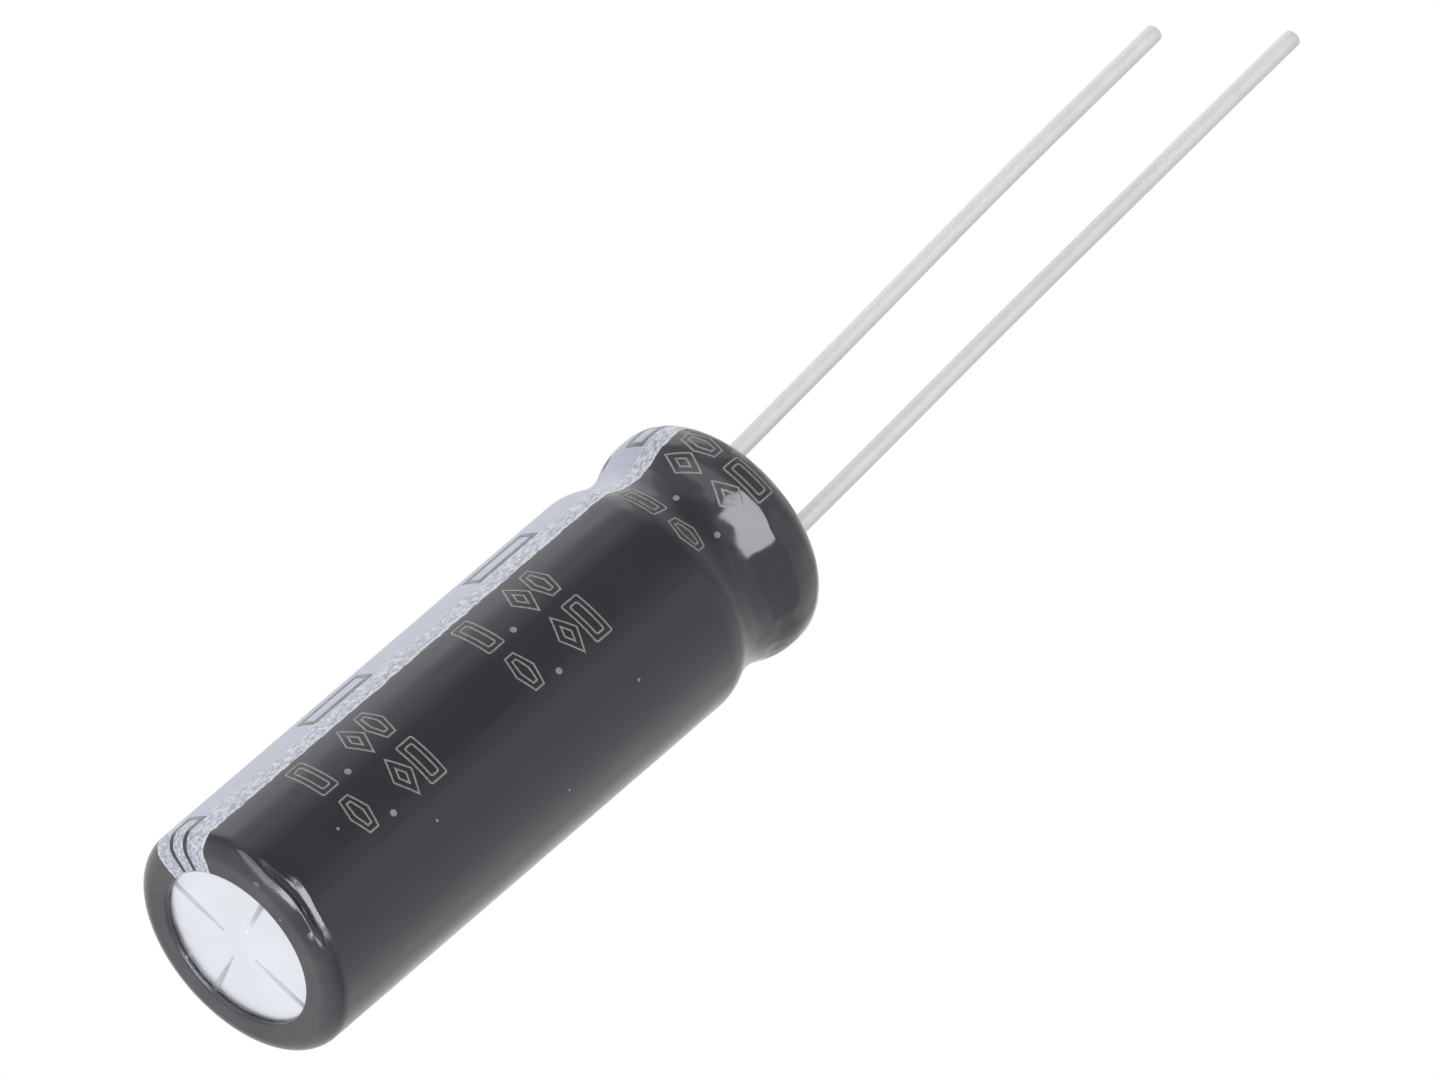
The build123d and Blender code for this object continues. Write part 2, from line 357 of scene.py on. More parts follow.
# The scored vent, in mm. Up from the base: where the metal is cut, and where the base ends. Out from its
# middle: where the grooves end, and where their darkening, partly painted shade, grows. The painted shade
# beside them: how far out it begins, and how wide it is.
VENT_CUT, VENT_BASE = (0.004, 0.03), (0.2, 0.1)
VENT_END, VENT_DARKENS = (3.3, 3.2), (0.5, 1.8)
VENT_SHADE_START, VENT_SHADE_WIDTH = (0.8, 2.2), (0.18, 0.0)

PRESS_RINGS = 38000.0    # How closely the press's rings lie on the base, in radians to the metre
ROLL_TURN = 0.23    # Thickness of one turn of the roll, in mm


def film_material(props):
    """Glossy black shrink film with its pale printed stripe, paler in places where it is rubbed thin,
    partly as painted sheen and painted highlight.
    """
    s = Surface("shrink_film")
    body = s.group("Round Body", Vector=s.stretch(turn=-props.stripe_azimuth))
    height = body["Height"]
    ragged = s.scaled(s.noise(s.place, 2600.0, detail=3.0), EDGE_WANDER, -EDGE_WANDER / 2)
    offset = s.math("ADD", s.math("ABSOLUTE", body["Azimuth"]), ragged)
    half = props.stripe_width / 2
    stripe = s.soft_step(offset, half + EDGE_FADE, half - EDGE_FADE)

    # Ink lies unevenly by the rating rows and round the base: pale flecks, and bare ones between
    ink_grain_and_arm_shade = s.noise(s.stretch(along=0.6), 9000.0, roughness=0.6)
    patches = s.noise(s.stretch(along=0.5), 700.0, detail=1.0)
    by_rows = s.soft_step(s.scaled(patches, half, body["Azimuth"]), half * 0.75, half)
    uneven = s.math("MAXIMUM", by_rows, s.mm_step(height, *FLECKED_BASE))
    flecks = s.times(uneven, s.soft_step(ink_grain_and_arm_shade, 0.50, 0.60))
    rim = s.soft_step(offset, half - EDGE_RIM[0], half - EDGE_RIM[1])
    pale = s.math("MAXIMUM", flecks, s.times(rim, s.soft_step(ink_grain_and_arm_shade, 0.38, 0.46)))
    bare = s.times(uneven, s.soft_step(ink_grain_and_arm_shade, 0.44, 0.34, 0.0, 0.42))
    inked = s.times(stripe, s.math("SUBTRACT", 1.0, bare))
    stripe_tint = s.mix_colour(pale, props.stripe_colour, props.fleck_colour)

    # Film drawn tight under the base and over the bead is paler, partly scuffed and partly painted sheen,
    # and one flank of a fold's crest and the film round a nick are paler, partly rubbed and partly painted
    # highlight
    above = s.mm_step(height, *OVER_BEAD)
    tight = s.scaled(above, 0.5, s.mm_step(height, *SCUFF_AND_SHEEN_BASE))
    scuffed_and_sheen = s.times(tight, s.mottle(300.0, 0.10, 0.26))
    colour = s.mix_colour(scuffed_and_sheen, props.film_colour, props.rub_and_sheen_colour)
    colour = s.mix_colour(inked, colour, stripe_tint)
    # One flank of a fold's crest and the film round a nick are paler: partly rubbed film, partly painted
    # highlight
    fold = s.add("Attribute", attribute_name="rubbed_and_highlit").outputs["Fac"]
    rubbed_and_highlit = s.times(s.soft_step(fold, 0.28, 0.38), s.mottle(9000.0, 0.7, 1.0))
    colour = s.mix_colour(s.times(rubbed_and_highlit, 0.7), colour, props.rub_and_sheen_colour)
    dust = s.group("Specks", Vector=s.place, Scale=800.0, Size=0.045, Share=0.5)["Mask"]
    colour = s.mix_colour(s.times(dust, 0.5), colour, (0.7, 0.7, 0.7))

    # Film that is drawn over the bead keeps a higher gloss, and the valley of a fold is dull
    gloss = s.times(s.mottle(420.0, 0.16, 0.25), s.scaled(above, -0.45, 1.0))
    gloss = s.math("MAXIMUM", gloss, s.soft_step(fold, -0.15, -0.5, 0.0, 0.8))
    gloss = s.mix_value(inked, gloss, 0.42)
    s.shader.inputs["IOR"].default_value = 1.5
    s.shader.inputs["Specular Tint"].default_value = (0.93, 0.92, 1.0, 1.0)

    # Slow waves of a shrunk film, stronger where it is gathered over the bead
    waves = s.noise(s.stretch(along=0.45), 420.0)
    gathers = s.times(s.noise(s.stretch(turn=2.54), 800.0, detail=1.0), above)
    waves = s.scaled(gathers, GATHER_HEIGHT, waves)
    bulge = s.mm_step(height, *BULGE, 0.0, BULGE_HEIGHT)
    return s.paint(colour, gloss, s.math("ADD", waves, bulge), 0.03)


def ink_material(name, colour, roughness):
    """Printing ink with an uneven, slightly grainy cover."""
    s = Surface(name)
    cover = s.mottle(7000.0, 0.45, 1.0)
    tint = s.mix_colour(cover, darker(colour, 0.35), colour)
    return s.paint(tint, s.mottle(3000.0, roughness - 0.06, roughness + 0.06), cover, 0.002)


def can_material(props):
    """Drawn aluminium: bright, with faint press rings, draw lines, a dull scored vent darkened partly by
    painted shade, and painted shade beside the vent's arms.
    """
    s = Surface("drawn_aluminium")
    metal = props.aluminium_colour
    body = s.group("Round Body", Vector=s.place)
    radius, height = body["Radius"], s.math("SUBTRACT", body["Height"], CAN_BASE * MM)
    # The scored grooves are duller and darker; the darkening, which grows outwards, is partly the struck
    # metal's tone and partly painted shade
    scored = s.times(s.mm_step(height, *VENT_CUT), s.mm_step(radius, *VENT_END))
    tint = s.clouded(metal, 0.95, 500.0)
    tint = s.mix_colour(s.times(scored, s.mm_step(radius, *VENT_DARKENS)), tint, darker(metal, 0.74))

    # Painted shade beside the vent's arms, strongest at the two arms a quarter turn from the vent azimuth
    turn = s.math("SUBTRACT", body["Azimuth"], props.vent_azimuth)
    across = s.times(s.math("SINE", s.math("PINGPONG", turn, pi / 4)), radius)
    ink_grain_and_arm_shade = s.scaled(s.math("ABSOLUTE", s.math("SINE", turn)), 0.65, 0.35)
    painted_arm_shade = s.times(s.mm_step(across, *VENT_SHADE_WIDTH), s.mm_step(radius, *VENT_SHADE_START))
    painted_arm_shade = s.times(painted_arm_shade, s.mm_step(height, *VENT_BASE))
    tint = s.mix_colour(s.times(painted_arm_shade, ink_grain_and_arm_shade), tint, darker(metal, 0.64))

    gloss = s.scaled(scored, 0.25, s.mottle(900.0, 0.30, 0.40))
    lines = s.noise(s.stretch(along=0.03), 9000.0)
    rings = s.math("SINE", s.times(radius, PRESS_RINGS))
    return s.paint(tint, gloss, s.scaled(rings, 0.04, lines), 0.002, metallic=1.0)


def terminal_material(props):
    """Forged aluminium, duller than the can, with fine scuffs."""
    s = Surface("forged_aluminium")
    tint = s.clouded(props.terminal_colour, 0.82, 1500.0)
    scuffs = s.noise(s.place, 6000.0, detail=3.0)
    return s.paint(tint, s.mottle(2500.0, 0.36, 0.52), scuffs, 0.006, metallic=1.0)


def wire_material(props):
    """Tinned wire: pale and bright, with die lines along it and slight blotches in the tin."""
    s = Surface("tinned_steel")
    s.shader.inputs["Specular IOR Level"].default_value = 0.1
    s.shader.inputs["Specular Tint"].default_value = (0.4, 0.4, 0.41, 1.0)
    tint = s.clouded(props.wire_colour, 0.95, 700.0, s.stretch(along=0.25))
    lines = s.noise(s.stretch(along=0.02), 6000.0, detail=1.0)
    return s.paint(tint, s.mottle(1400.0, 0.50, 0.60), lines, 0.0004, metallic=0.25)


def rubber_material(props):
    """Moulded butyl rubber: dull black with a fine grain and a trace of pale bloom."""
    s = Surface("moulded_rubber")
    bloom = [c * 2.2 + 0.02 for c in props.rubber_colour]
    tint = s.mix_colour(s.mottle(1100.0, 0.0, 0.35), props.rubber_colour, bloom)
    return s.paint(tint, s.mottle(2000.0, 0.55, 0.75), s.noise(s.place, 12000.0), 0.008)


def roll_material(props):
    """Wound foils: black carbon coats and pale separator, turn by turn on the ends."""
    s = Surface("wound_foils")
    radius = s.group("Round Body", Vector=s.place)["Radius"]
    turns = s.math("SINE", s.times(radius, 2 * pi / (ROLL_TURN * MM)))
    tint = s.mix_colour(s.soft_step(turns, -0.2, 0.5), props.carbon_colour, props.paper_colour)
    return s.paint(tint, s.mottle(2600.0, 0.7, 0.9), s.noise(s.place, 9000.0, detail=3.0), 0.01)


def tape_material(props):
    """Thin amber tape with a satin back and faint rolling lines."""
    s = Surface("amber_tape")
    tint = s.clouded(props.tape_colour, 0.85, 700.0)
    return s.paint(tint, s.mottle(1500.0, 0.3, 0.45), s.noise(s.stretch(along=12), 900.0), 0.006)


def bare_material(name):
    """A material without a shader; gives it, its nodes and its output node."""
    material = bpy.data.materials.new(name)
    material.use_nodes = True
    material.node_tree.nodes.clear()
    nodes = Nodes(material.node_tree)
    return material, nodes, nodes.add("OutputMaterial")


def floor_material(props):
    """Pale floor, seen from above only: it hides nothing from a camera below it and dims no lamp."""
    material, nodes, out = bare_material("pale_floor")
    pale = nodes.add("BsdfDiffuse", {"Color": rgba(props.floor_colour)}).outputs[0]
    clear = nodes.add("BsdfTransparent").outputs[0]
    front = nodes.math("SUBTRACT", 1.0, nodes.add("NewGeometry").outputs["Backfacing"])
    seen = nodes.times(nodes.add("LightPath").outputs["Is Camera Ray"], front)
    nodes.feed(out, {"Surface": nodes.add("MixShader", {0: seen, 1: clear, 2: pale}).outputs[0]})
    return material


def scrim_material():
    """Thin grey cloth that lets part of the light through."""
    material, nodes, out = bare_material("grey_scrim")
    clear = nodes.add("BsdfTransparent", {"Color": (0.7, 0.7, 0.7, 1)})
    nodes.feed(out, {"Surface": clear.outputs[0]})
    return material


# ---- Mesh helpers ----

class Pen:
    """Draws an outline in the XZ plane, one stretch after another, in millimetres.

    A positive turn is anticlockwise with X to the right and Z up.
    """

    def __init__(self, bm, x, z):
        self.bm = bm
        self.tip = bm.verts.new((x, 0, z))

    def line(self, x, z, steps=1):
        """Straight to (x, z), in equal steps."""
        move = (Vector((x, 0, z)) - self.tip.co) / steps
        for _ in range(steps):
            grown = bmesh.ops.extrude_vert_indiv(self.bm, verts=[self.tip])["verts"]
            bmesh.ops.translate(self.bm, verts=grown, vec=move)
            self.tip = grown[0]

    def arc(self, x, z, turn, steps):
        """Round the centre (x, z) by a turn in radians."""
        swept = bmesh.ops.spin(
            self.bm, geom=[self.tip], cent=(x, 0, z), axis=(0, -1, 0), angle=turn, steps=steps)
        self.tip = only(BMVert, swept["geom_last"])[0]


def only(kind, geometry):
    """The geometry of one kind among what an operator gave back."""
    return [g for g in geometry if isinstance(g, kind)]


def chain(first):
    """The vertices of an open outline in order, from its first vertex."""
    ordered = [first]
    for v in ordered:    # The list grows by the next vertex at each step
        ordered += [w for w in (e.other_vert(v) for e in v.link_edges) if w not in ordered[-2:]]
    return ordered


def around(x, z, radius, turn):
    """The point at a radius and a turn in radians from a centre."""
    return x + radius * cos(turn), z + radius * sin(turn)


def toward(azimuth, elevation=0.0):
    """A direction, from its azimuth and elevation in radians."""
    return Vector((cos(azimuth) * cos(elevation), sin(azimuth) * cos(elevation), sin(elevation)))


def new_object(name, data):
    """A new object in the scene, in place of any of the same name."""
    if name in bpy.data.objects:
        bpy.data.objects.remove(bpy.data.objects[name])
    made = bpy.data.objects.new(name, data)
    bpy.context.scene.collection.objects.link(made)
    return made


def rectangle(bm, length, width):
    """A flat rectangle round the origin, length along x; gives its vertices."""
    verts = bmesh.ops.create_grid(bm, x_segments=1, y_segments=1, size=0.5)["verts"]
    bmesh.ops.scale(bm, verts=verts, vec=(length, width, 1))
    return verts


def mesh_object(name, bm, material):
    """Turns a bmesh into an object with a material."""
    mesh = bpy.data.meshes.new(name)
    bm.to_mesh(mesh)
    bm.free()
    mesh.materials.append(material)
    return new_object(name, mesh)


def show_piece(name, bm, material, smooth_angle, unit=MM):
    """Shows a bmesh as a piece that rides on the root body, smooth but for edges over an angle."""
    bmesh.ops.scale(bm, verts=bm.verts, vec=(unit, unit, unit))
    piece = mesh_object(name, bm, material)
    piece.data.shade_smooth()
    piece.data.set_sharp_from_angle(angle=smooth_angle)
    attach(piece, "root")
    return piece


# ---- Sleeve ----

# The film's folds at the base. Each has its crest line as azimuths in degrees and ways up the outline in
# mm, its reach below and above that line, and how far it stands up (or sinks in).
FOLDS = (
    (((206, 0.42), (218, 0.20), (230, 0.05), (240, 0.10), (254, 0.14)), 0.10, 0.27, 0.085),
    (((232, 0.62), (240, 0.86), (248, 0.78), (254, 0.68), (260, 0.63), (265, 0.64), (274, 0.52)),
     0.27, 0.10, 0.10),
    (((220, 0.50), (228, 0.42), (243, 0.44), (254, 0.36), (262, 0.30), (272, 0.24)), 0.15, 0.15, -0.09),
)

# The folds lie below this height in mm, where y is also under this share of x and under this length
FOLDS_TOP, FOLDS_SLANT, FOLDS_SIDE = 1.1, 0.3, -1.4

# Small nicks under the base: azimuth in degrees, way up the outline and size in mm. The film stands up at
# a nick by a share of its size, and round a nick it is paler, partly rubbed and partly painted highlight.
NICKS = ((263.4, 0.07, 0.19), (227.3, -0.21, 0.17))
NICK_LIFT = 0.3

MERGE = 1e-4    # Points closer than this are one, in mm
FINE_SIDE = 1.2    # The side is cut finer up to this height over the base corner, in mm
SLEEVE_CRISP = radians(50)    # Edges sharper than this stay crisp


def sleeve_outline(s, bm):
    """Draws the sleeve's outline, from the base lip up to the top lip and back down inside.

    Gives its first vertex and the one where the lip ends.
    """
    top = SLEEVE_HIGH.z
    bead_z = top - s.bead_below_top
    bead_turn = acos(1 - s.bead_depth / (s.bead_shoulder + s.bead_root))
    bead_half = (s.bead_shoulder + s.bead_root) * sin(bead_turn)
    curl_x, curl_z = SLEEVE_RADIUS - s.curl_radius, top - s.curl_radius
    corner_x = SLEEVE_RADIUS - s.corner_radius
    lip_x = s.lip_radius + s.lip_round
    wall, edge = SLEEVE_WALL, s.lip_round
    pen = Pen(bm, lip_x, 0)
    start = pen.tip

    def bead(inset, way, run, steps):
        """The rolled bead, an inset inside the film. Way is 1 upwards and -1 downwards."""
        radius, shoulder = SLEEVE_RADIUS - inset, s.bead_shoulder - inset
        pen.line(radius, bead_z - way * bead_half, run)
        pen.arc(radius - shoulder, bead_z - way * bead_half, way * bead_turn, steps)
        pen.arc(radius - s.bead_depth + (s.bead_root + inset), bead_z, -2 * way * bead_turn, 2 * steps)
        pen.arc(radius - shoulder, bead_z + way * bead_half, way * bead_turn, steps)

    pen.line(corner_x, 0, steps=10)
    pen.arc(corner_x, s.corner_radius, pi / 2, steps=20)
    pen.line(SLEEVE_RADIUS, s.corner_radius + FINE_SIDE, steps=20)
    bead(0, 1, run=60, steps=10)
    pen.line(SLEEVE_RADIUS, curl_z, steps=2)

    # Round the curled top to the cut edge, over the edge and back down inside
    outer, inner = s.curl_radius - edge, s.curl_radius - wall + edge
    outer_turn = s.curl_turn - asin(edge / outer)
    inner_turn = s.curl_turn - asin(edge / inner)
    pen.arc(curl_x, curl_z, outer_turn, steps=20)
    pen.arc(*around(curl_x, curl_z, outer, outer_turn), pi / 2, steps=4)
    centre = around(curl_x, curl_z, inner, inner_turn)
    pen.line(*around(*centre, edge, s.curl_turn + pi / 2))
    pen.arc(*centre, pi / 2, steps=4)
    pen.arc(curl_x, curl_z, -inner_turn, steps=10)
    outer_end = pen.tip

    bead(wall, -1, run=1, steps=5)
    pen.line(SLEEVE_RADIUS - wall, s.corner_radius)
    pen.arc(corner_x, s.corner_radius, -pi / 2, steps=6)
    pen.line(lip_x, wall)
    pen.arc(lip_x, wall - edge, pi / 2, steps=4)
    pen.line(s.lip_radius, edge)
    pen.arc(lip_x, edge, pi / 2, steps=4)
    return start, outer_end


class Wrap:
    """Lays flat print on the sleeve: x is the way up the outline, y the way round, z the lift."""

    def __init__(self, props):
        bm = bmesh.new()
        points = [v.co.copy() for v in chain(sleeve_outline(props, bm)[0])]
        last = max(range(len(points)), key=lambda i: points[i].z)
        self.points = points[:last + 1]
        bm.free()
        corner = next(i for i, p in enumerate(self.points) if p.x > SLEEVE_RADIUS - MERGE)
        ways = [0.0]
        for a, b in zip(self.points, self.points[1:]):
            ways.append(ways[-1] + (b - a).length)
        zero = ways[corner] - self.points[corner].z
        self.ways = [w - zero for w in ways]

    def repeats(self, first, pitch):
        """Ways up the outline from the first one, a pitch apart."""
        count = int((self.ways[-1] - first) / pitch) + 1
        return [first + i * pitch for i in range(count)]

    def place(self, way, azimuth, lift):
        """The point at a way up the outline and an azimuth in radians, lifted off the film."""
        i = next((k for k in range(1, len(self.ways)) if self.ways[k] >= way), len(self.ways) - 1)
        a, b = self.points[i - 1], self.points[i]
        share = (way - self.ways[i - 1]) / (self.ways[i] - self.ways[i - 1])
        spot = a.lerp(b, share)
        along = (b - a).normalized()
        spot += Vector((along.z, 0, -along.x)) * lift
        return Vector((spot.x * cos(azimuth), spot.x * sin(azimuth), spot.z))


def fold_at(props, azimuth, way):
    """How far the film is lifted at a place by its folds, in mm, and how much it is painted paler there,
    partly rubbed and partly painted highlight.

    That value is negative in a fold's valley, down to -1 at its bottom.
    """
    turn = degrees(azimuth) % 360
    lift = rub_and_highlight = deep = 0.0
    for path, below, above, height in FOLDS:
        first, last = path[0][0], path[-1][0]
        if not first < turn < last:
            continue
        (a, way_a), (b, way_b) = next(pair for pair in zip(path, path[1:]) if turn <= pair[1][0])
        share = (turn - a) / (b - a)
        gap = way - way_a - (way_b - way_a) * share
        taper = min(1.0, (turn - first) / props.fold_taper, (last - turn) / props.fold_taper)
        slope = max(0.0, 1 - abs(gap) / (above if gap > 0 else below))
        if height < 0:
            slope *= slope * (3 - 2 * slope)
            deep = max(deep, taper * slope)
        lift += height * taper * slope
        if height > 0 and (gap > 0) == (above > below):
            rub_and_highlight = max(rub_and_highlight, taper * slope)
    for nick_turn, nick_way, size in NICKS:
        across = radians(turn - nick_turn) * SLEEVE_RADIUS
        near = max(0.0, 1 - hypot(across, 2 * (way - nick_way)) / size)
        lift += NICK_LIFT * size * near
        rub_and_highlight = max(rub_and_highlight, min(1.0, 2 * near))
    return lift, rub_and_highlight if rub_and_highlight > 0.0 else -deep


def lift_folds(props, bm, is_outer):
    """Cuts the film finer where it was gathered and lifts it into its folds."""
    def gathered(v):
        x, y, z = v.co
        return v[is_outer] > 0.5 and z < FOLDS_TOP and y < FOLDS_SLANT * x and y < FOLDS_SIDE

    edges = [e for e in bm.edges if all(gathered(v) for v in e.verts)]
    bmesh.ops.subdivide_edges(bm, edges=edges, cuts=props.fold_cuts, use_grid_fill=True)
    rubbed_and_highlit = bm.verts.layers.float.new("rubbed_and_highlit")
    bm.normal_update()
    corner = props.corner_radius
    moves = []
    for v in filter(gathered, bm.verts):
        # The way up the outline is the height on the straight side, and goes on round the base corner
        out = hypot(v.co.x, v.co.y) - SLEEVE_RADIUS + corner
        way = v.co.z
        if way < corner:
            way = corner * (1 - atan2(corner - v.co.z, max(out, 0.0))) + min(out, 0.0)
        # Each place also keeps how much paler its film is, partly rubbed and partly painted highlight
        lift, rub_and_highlight = fold_at(props, atan2(v.co.y, v.co.x), way)
        v[rubbed_and_highlit] = rub_and_highlight
        moves.append((v, v.normal * lift))
    for v, move in moves:
        v.co += move


class CELL_OT_sleeve(Operator):
    """Shrunk film sleeve with its open lips, bead and folds"""
    bl_idname = "cell.sleeve"
    bl_label = "Shrunk Sleeve"

    def execute(self, context):
        props = context.scene.cell_sleeve
        bm = bmesh.new()
        is_outer = bm.verts.layers.float.new("outer")
        start, outer_end = sleeve_outline(props, bm)
        outline = chain(start)
        for v in outline[:outline.index(outer_end)]:
            v[is_outer] = 1.0
        bmesh.ops.remove_doubles(bm, verts=bm.verts, dist=MERGE)
        bmesh.ops.spin(
            bm, geom=bm.verts[:] + bm.edges[:], cent=(0, 0, 0), axis=(0, 0, 1), angle=2 * pi,
            steps=props.steps_round, use_merge=True)
        bmesh.ops.remove_doubles(bm, verts=bm.verts, dist=MERGE)
        bmesh.ops.recalc_face_normals(bm, faces=bm.faces)
        lift_folds(props, bm, is_outer)
        piece = show_piece("shrunk_sleeve", bm, film_material(props), SLEEVE_CRISP)
        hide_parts("sleeve")
        return {"FINISHED"}


# ---- Print ----

# The marks of one block in each of the two rows, and how far each stands up from the first, in mm
ROW_MARKS = (("box", "dot", "lozenge", "hexagon"), ("hexagon", "dot", "lozenge", "box"))
MARK_STEPS = (0.0, 0.93, 2.13, 3.08)

DOT_SIZE = 0.24    # In mm
DOT_ASIDE = 0.42    # Off the row's middle, as a share of a mark's height
OUTLINES = (0.0, 0.2)    # How far in each of a mark's two outlines lies, in mm
BOX_CORNER, MINUS_CORNER = 0.1, 0.02    # Radii in mm

# Print edges longer than this, in mm, are cut so many times to follow the film
LONG_EDGE, LONG_EDGE_CUTS = 0.3, 5
PRINT_CRISP = radians(40)


def bar_shape(bm, length, width, corner):
    """A flat bar with rounded corners, length along x; gives its face."""
    verts = rectangle(bm, length, width)
    rounded = bmesh.ops.bevel(
        bm, geom=verts, offset=corner, segments=5, profile=0.5, affect="VERTICES", material=-1)
    return next(f for v in rounded["verts"] for f in v.link_faces)


def pointed_shape(bm, corners, length, width):
    """A flat shape with 4 or 6 corners, its points up and down the row, length along x; gives its face."""
    made = bmesh.ops.create_circle(bm, cap_ends=True, segments=corners, radius=0.5)
    bmesh.ops.rotate(bm, verts=made["verts"], cent=(0, 0, 0), matrix=Matrix.Rotation(pi / 2, 3, "Z"))
    bmesh.ops.scale(bm, verts=made["verts"], vec=(length, width, 1))
    return made["verts"][0].link_faces[0]


def outline_shape(bm, kind, width, height, inset):
    """One outline of a mark, drawn an inset inside its full size; gives its face."""
    if kind == "box":
        return bar_shape(bm, width - 2 * inset, height - 2 * inset, BOX_CORNER)
    if kind == "lozenge":
        return pointed_shape(bm, 4, width * 1.15 - 2.6 * inset, height - 4.5 * inset)
    return pointed_shape(bm, 6, width * 1.1 - 2.2 * inset, height - 2.6 * inset)


def hollow(bm, face, line):
    """Leaves only a line's width round the inside of a face."""
    bmesh.ops.inset_individual(bm, faces=[face], thickness=line, use_even_offset=True)
    bmesh.ops.delete(bm, geom=[face], context="FACES_ONLY")


def shift_new(bm, before, move):
    """Moves what was drawn since a set of vertices was taken."""
    bmesh.ops.translate(bm, verts=[v for v in bm.verts if v not in before], vec=move)


def print_piece(name, flat, wrap, thickness, material):
    """Gives flat print its thickness, lays it on the sleeve and shows it. Lengths are in mm."""
    cuts = [(wrap.ways[0], -1, True), (wrap.ways[-1], 1, True)]
    cuts += [(way, 1, False) for way in wrap.ways[1:-1]]
    for way, side, trim in cuts:
        geometry = flat.verts[:] + flat.edges[:] + flat.faces[:]
        bmesh.ops.bisect_plane(
            flat, geom=geometry, dist=1e-5, plane_co=(way, 0, 0), plane_no=(side, 0, 0), clear_outer=trim)
    long_edges = [e for e in flat.edges if e.calc_length() > LONG_EDGE]
    bmesh.ops.subdivide_edges(flat, edges=long_edges, cuts=LONG_EDGE_CUTS, use_grid_fill=True)
    bmesh.ops.triangulate(flat, faces=flat.faces)
    bmesh.ops.translate(flat, verts=flat.verts, vec=(0, 0, thickness))
    grown = bmesh.ops.extrude_face_region(flat, geom=flat.faces[:], use_keep_orig=True)
    lower = only(BMVert, grown["geom"])
    bmesh.ops.translate(flat, verts=lower, vec=(0, 0, -2 * thickness))
    for v in flat.verts:
        v.co = wrap.place(v.co.x, v.co.y / SLEEVE_RADIUS, v.co.z)
    bmesh.ops.recalc_face_normals(flat, faces=flat.faces)
    piece = show_piece(name, flat, material, PRINT_CRISP)


class CELL_OT_minus_marks(Operator):
    """Hollow minus marks down the middle of the negative stripe"""
    bl_idname = "cell.minus_marks"
    bl_label = "Minus Marks"

    def execute(self, context):
        sleeve, props = context.scene.cell_sleeve, context.scene.cell_print
        wrap = Wrap(sleeve)
        flat = bmesh.new()
        for way in wrap.repeats(props.minus_first, props.block_pitch):
            before = set(flat.verts)
            face = bar_shape(flat, props.minus_length, props.minus_width, MINUS_CORNER)
            hollow(flat, face, props.minus_line)
            shift_new(flat, before, (way, sleeve.stripe_azimuth * SLEEVE_RADIUS, 0))
        material = ink_material("bare_film", (0.03, 0.034, 0.055), 0.3)
        print_piece("minus_marks", flat, wrap, props.ink_thickness, material)
        return {"FINISHED"}


def draw_block(flat, props, marks, way, middle):
    """One block of a row: hollow shapes, each drawn as two outlines, and a dot."""
    width, height = props.mark_width, props.mark_height
    for kind, step in zip(marks, MARK_STEPS):
        before = set(flat.verts)
        if kind == "dot":
            bmesh.ops.create_circle(flat, cap_ends=True, segments=16, radius=DOT_SIZE / 2)
            shift_new(flat, before, (0, height * DOT_ASIDE, 0))
        else:
            for inset in OUTLINES:
                hollow(flat, outline_shape(flat, kind, width, height, inset), props.mark_line)
        shift_new(flat, before, (way + step, middle, 0))


class CELL_OT_rating_marks(Operator):
    """Two rows of plain hollow marks where the rating is printed"""
    bl_idname = "cell.rating_marks"
    bl_label = "Rating Marks"

    def execute(self, context):
        props = context.scene.cell_print
        wrap = Wrap(context.scene.cell_sleeve)
        flat = bmesh.new()
        for way in wrap.repeats(props.row_first, props.block_pitch):
            for row, marks in enumerate(ROW_MARKS):
                azimuth = props.row_azimuth + row * props.row_step
                draw_block(flat, props, marks, way, azimuth * SLEEVE_RADIUS)
        material = ink_material("grey_ink", tuple(props.ink_colour), 0.45)
        print_piece("rating_marks", flat, wrap, props.ink_thickness, material)
        return {"FINISHED"}


# ---- Wires ----

# A handled wire's bow: how much it swells between its ends, and how much of it is left at the tip. Its
# crook goes this many times back and forth, in X and in Y.
BOW_SWELL, BOW_TIP = 1.3, 0.25
CROOK_X, CROOK_Y = 1.6, 1.2
WIRE_CRISP = radians(30)


